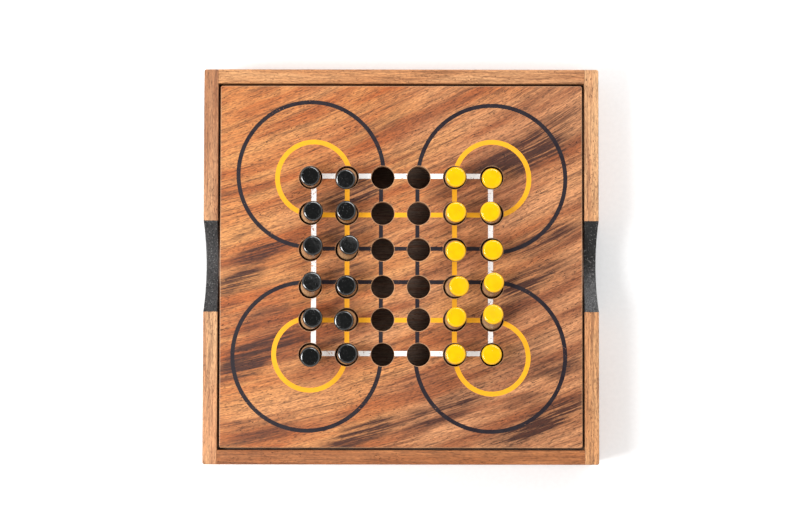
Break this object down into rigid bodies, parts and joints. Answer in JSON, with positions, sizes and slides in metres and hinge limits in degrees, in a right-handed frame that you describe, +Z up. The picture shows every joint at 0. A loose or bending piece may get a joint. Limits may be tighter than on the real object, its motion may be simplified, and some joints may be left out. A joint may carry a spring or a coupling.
{
  "type": "peg board game in a wooden box",
  "caption": "Square wooden Surakarta game box with a lift-out drilled board, printed looping lines and two sets of dowel pegs standing in its holes.",
  "frame": {"origin": "middle of the box's underside, on the surface it stands on", "axes": "+Z up; +X to the right and +Y towards the back, as seen by a player at the front edge; black pegs on the left (-X), yellow pegs on the right (+X)"},
  "size_m": [0.18, 0.18, 0.0423],
  "materials": {
    "box_wood": "oiled light orange-brown hardwood, black-stained at the two finger grips",
    "panel_wood": "plain sanded wood",
    "board_wood": "orange-brown hardwood with dark diagonal streaks, printed with white, yellow and black lines",
    "black_peg": "wood dowel with one end dipped in black gloss paint",
    "yellow_peg": "wood dowel with one end dipped in yellow gloss paint"
  },
  "bodies": {
    "box": {"wall_left": "box_wood", "wall_right": "box_wood", "wall_front": "box_wood", "wall_back": "box_wood", "bottom_panel": "panel_wood", "ledge_left": "panel_wood", "ledge_right": "panel_wood", "ledge_front": "panel_wood", "ledge_back": "panel_wood"},
    "board": {"game_board": "board_wood"},
    "peg_black_01": {"peg_black_01": "black_peg"},
    "peg_black_02": {"peg_black_02": "black_peg"},
    "peg_black_03": {"peg_black_03": "black_peg"},
    "peg_black_04": {"peg_black_04": "black_peg"},
    "peg_black_05": {"peg_black_05": "black_peg"},
    "peg_black_06": {"peg_black_06": "black_peg"},
    "peg_black_07": {"peg_black_07": "black_peg"},
    "peg_black_08": {"peg_black_08": "black_peg"},
    "peg_black_09": {"peg_black_09": "black_peg"},
    "peg_black_10": {"peg_black_10": "black_peg"},
    "peg_black_11": {"peg_black_11": "black_peg"},
    "peg_black_12": {"peg_black_12": "black_peg"},
    "peg_yellow_01": {"peg_yellow_01": "yellow_peg"},
    "peg_yellow_02": {"peg_yellow_02": "yellow_peg"},
    "peg_yellow_03": {"peg_yellow_03": "yellow_peg"},
    "peg_yellow_04": {"peg_yellow_04": "yellow_peg"},
    "peg_yellow_05": {"peg_yellow_05": "yellow_peg"},
    "peg_yellow_06": {"peg_yellow_06": "yellow_peg"},
    "peg_yellow_07": {"peg_yellow_07": "yellow_peg"},
    "peg_yellow_08": {"peg_yellow_08": "yellow_peg"},
    "peg_yellow_09": {"peg_yellow_09": "yellow_peg"},
    "peg_yellow_10": {"peg_yellow_10": "yellow_peg"},
    "peg_yellow_11": {"peg_yellow_11": "yellow_peg"},
    "peg_yellow_12": {"peg_yellow_12": "yellow_peg"}
  },
  "joints": [
    {"name": "board_lift", "type": "slide", "parent": "box", "child": "board", "axis": [0, 0, 1], "range_m": [0, 0.045]},
    {"name": "peg_black_01_pull", "type": "slide", "parent": "board", "child": "peg_black_01", "axis": [0.0133, -0.02, 0.9997], "range_m": [0, 0.027]},
    {"name": "peg_black_02_pull", "type": "slide", "parent": "board", "child": "peg_black_02", "axis": [-0.0331, -0.1256, 0.9915], "range_m": [0, 0.027]},
    {"name": "peg_black_03_pull", "type": "slide", "parent": "board", "child": "peg_black_03", "axis": [0.1126, 0.0199, 0.9934], "range_m": [0, 0.027]},
    {"name": "peg_black_04_pull", "type": "slide", "parent": "board", "child": "peg_black_04", "axis": [-0.0067, 0.0333, 0.9994], "range_m": [0, 0.027]},
    {"name": "peg_black_05_pull", "type": "slide", "parent": "board", "child": "peg_black_05", "axis": [0.1057, 0.0859, 0.9907], "range_m": [0, 0.027]},
    {"name": "peg_black_06_pull", "type": "slide", "parent": "board", "child": "peg_black_06", "axis": [0.0924, 0.1056, 0.9901], "range_m": [0, 0.027]},
    {"name": "peg_black_07_pull", "type": "slide", "parent": "board", "child": "peg_black_07", "axis": [0.0791, 0.1318, 0.9881], "range_m": [0, 0.027]},
    {"name": "peg_black_08_pull", "type": "slide", "parent": "board", "child": "peg_black_08", "axis": [0, 0.02, 0.9998], "range_m": [0, 0.027]},
    {"name": "peg_black_09_pull", "type": "slide", "parent": "board", "child": "peg_black_09", "axis": [0.106, 0.0464, 0.9933], "range_m": [0, 0.027]},
    {"name": "peg_black_10_pull", "type": "slide", "parent": "board", "child": "peg_black_10", "axis": [-0.0731, -0.0465, 0.9962], "range_m": [0, 0.027]},
    {"name": "peg_black_11_pull", "type": "slide", "parent": "board", "child": "peg_black_11", "axis": [0.0332, -0.0797, 0.9963], "range_m": [0, 0.027]},
    {"name": "peg_black_12_pull", "type": "slide", "parent": "board", "child": "peg_black_12", "axis": [0.0466, 0.0333, 0.9984], "range_m": [0, 0.027]},
    {"name": "peg_yellow_01_pull", "type": "slide", "parent": "board", "child": "peg_yellow_01", "axis": [0.0133, -0.0466, 0.9988], "range_m": [0, 0.027]},
    {"name": "peg_yellow_02_pull", "type": "slide", "parent": "board", "child": "peg_yellow_02", "axis": [-0.0332, -0.0929, 0.9951], "range_m": [0, 0.027]},
    {"name": "peg_yellow_03_pull", "type": "slide", "parent": "board", "child": "peg_yellow_03", "axis": [0.0267, -0.0067, 0.9996], "range_m": [0, 0.027]},
    {"name": "peg_yellow_04_pull", "type": "slide", "parent": "board", "child": "peg_yellow_04", "axis": [-0.0797, 0.0066, 0.9968], "range_m": [0, 0.027]},
    {"name": "peg_yellow_05_pull", "type": "slide", "parent": "board", "child": "peg_yellow_05", "axis": [0.0133, -0.0863, 0.9962], "range_m": [0, 0.027]},
    {"name": "peg_yellow_06_pull", "type": "slide", "parent": "board", "child": "peg_yellow_06", "axis": [0, -0.0466, 0.9989], "range_m": [0, 0.027]},
    {"name": "peg_yellow_07_pull", "type": "slide", "parent": "board", "child": "peg_yellow_07", "axis": [0.1191, 0, 0.9929], "range_m": [0, 0.027]},
    {"name": "peg_yellow_08_pull", "type": "slide", "parent": "board", "child": "peg_yellow_08", "axis": [0.0331, 0.1191, 0.9923], "range_m": [0, 0.027]},
    {"name": "peg_yellow_09_pull", "type": "slide", "parent": "board", "child": "peg_yellow_09", "axis": [0.0332, 0.0731, 0.9968], "range_m": [0, 0.027]},
    {"name": "peg_yellow_10_pull", "type": "slide", "parent": "board", "child": "peg_yellow_10", "axis": [0.0132, 0.158, 0.9874], "range_m": [0, 0.027]},
    {"name": "peg_yellow_11_pull", "type": "slide", "parent": "board", "child": "peg_yellow_11", "axis": [0.0133, 0.02, 0.9997], "range_m": [0, 0.027]},
    {"name": "peg_yellow_12_pull", "type": "slide", "parent": "board", "child": "peg_yellow_12", "axis": [-0.04, 0.0067, 0.9992], "range_m": [0, 0.027]}
  ]
}
